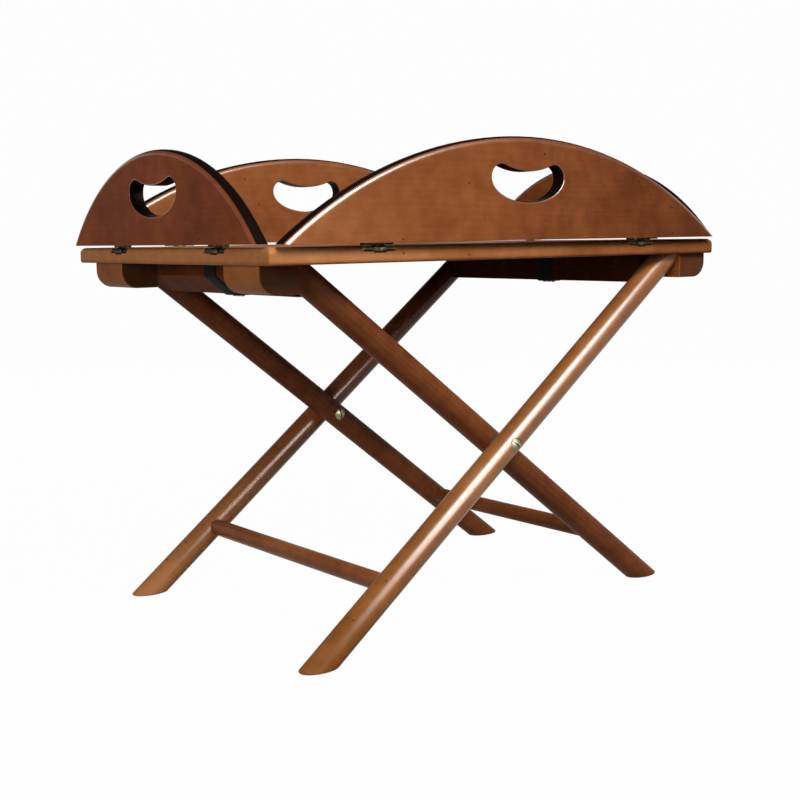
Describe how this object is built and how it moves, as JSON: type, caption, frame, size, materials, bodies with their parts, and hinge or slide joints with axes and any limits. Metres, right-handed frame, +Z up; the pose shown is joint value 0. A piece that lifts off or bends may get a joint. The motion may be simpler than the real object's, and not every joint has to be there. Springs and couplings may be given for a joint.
{
  "type": "folding tray table",
  "caption": "Butler's tray table: a wooden board with hinged arched flaps and handle holes, on a folding cross-legged stand.",
  "frame": {"origin": "on the floor under the middle of the tray", "axes": "+X along the tray's long side, -Y is the front, +Z up; the outer legs' feet are at -X"},
  "size_m": [0.764, 0.508, 0.6189],
  "materials": {
    "tray_wood": "satin lacquer over reddish brown stain",
    "stand_wood": "satin lacquer over reddish brown stain",
    "dowel_wood": "bare beech",
    "antique_brass": "dark antique brass",
    "webbing": "woven black webbing"
  },
  "bodies": {
    "outer_frame": {"outer_front_leg": "stand_wood", "outer_back_leg": "stand_wood", "outer_front_bearer_block": "stand_wood", "outer_back_bearer_block": "stand_wood", "outer_stretcher": "stand_wood", "outer_top_rail": "stand_wood", "outer_block_dowels": "dowel_wood", "outer_strap_tacks": "antique_brass", "front_pivot_bolt": "antique_brass", "back_pivot_bolt": "antique_brass", "pivot_nuts": "antique_brass", "pivot_spacers": "antique_brass", "webbing_strap": "webbing"},
    "inner_frame": {"inner_front_leg": "stand_wood", "inner_back_leg": "stand_wood", "inner_front_bearer_block": "stand_wood", "inner_back_bearer_block": "stand_wood", "inner_stretcher": "stand_wood", "inner_top_rail": "stand_wood", "inner_block_dowels": "dowel_wood", "inner_strap_tacks": "antique_brass"},
    "tray": {"tray_board": "tray_wood", "tray_leaf_screws": "antique_brass", "front_tray_leaf_a": "antique_brass", "front_tray_leaf_b": "antique_brass", "front_hinge_pin_a": "antique_brass", "front_hinge_pin_b": "antique_brass", "right_tray_leaf_a": "antique_brass", "right_tray_leaf_b": "antique_brass", "right_hinge_pin_a": "antique_brass", "right_hinge_pin_b": "antique_brass", "back_tray_leaf_a": "antique_brass", "back_tray_leaf_b": "antique_brass", "back_hinge_pin_a": "antique_brass", "back_hinge_pin_b": "antique_brass", "left_tray_leaf_a": "antique_brass", "left_tray_leaf_b": "antique_brass", "left_hinge_pin_a": "antique_brass", "left_hinge_pin_b": "antique_brass"},
    "front_flap": {"front_flap": "tray_wood", "front_flap_leaf_a": "antique_brass", "front_flap_leaf_b": "antique_brass", "front_flap_leaf_screws": "antique_brass"},
    "right_flap": {"right_flap": "tray_wood", "right_flap_leaf_a": "antique_brass", "right_flap_leaf_b": "antique_brass", "right_flap_leaf_screws": "antique_brass"},
    "back_flap": {"back_flap": "tray_wood", "back_flap_leaf_a": "antique_brass", "back_flap_leaf_b": "antique_brass", "back_flap_leaf_screws": "antique_brass"},
    "left_flap": {"left_flap": "tray_wood", "left_flap_leaf_a": "antique_brass", "left_flap_leaf_b": "antique_brass", "left_flap_leaf_screws": "antique_brass"}
  },
  "joints": [
    {"name": "tray_lift", "type": "slide", "parent": "outer_frame", "child": "tray", "axis": [0, 0, 1], "range_m": [0, 0.65]},
    {"name": "stand_fold", "type": "hinge", "parent": "outer_frame", "child": "inner_frame", "pos_m": [0, 0, 0.2336], "axis": [0, 1, 0], "range_deg": [0, 95], "deforming": ["webbing_strap"]},
    {"name": "front_flap_hinge", "type": "hinge", "parent": "tray", "child": "front_flap", "pos_m": [0, -0.238, 0.486], "axis": [1, 0, 0], "range_deg": [0, 90]},
    {"name": "right_flap_hinge", "type": "hinge", "parent": "tray", "child": "right_flap", "pos_m": [0.366, 0, 0.486], "axis": [0, 1, 0], "range_deg": [0, 90]},
    {"name": "back_flap_hinge", "type": "hinge", "parent": "tray", "child": "back_flap", "pos_m": [0, 0.238, 0.486], "axis": [-1, 0, 0], "range_deg": [0, 90]},
    {"name": "left_flap_hinge", "type": "hinge", "parent": "tray", "child": "left_flap", "pos_m": [-0.366, 0, 0.486], "axis": [0, -1, 0], "range_deg": [0, 90]}
  ],
  "couplings": [
    {"joint": "stand_fold", "follows": "tray_lift", "rad_per_m": 2.55}
  ]
}
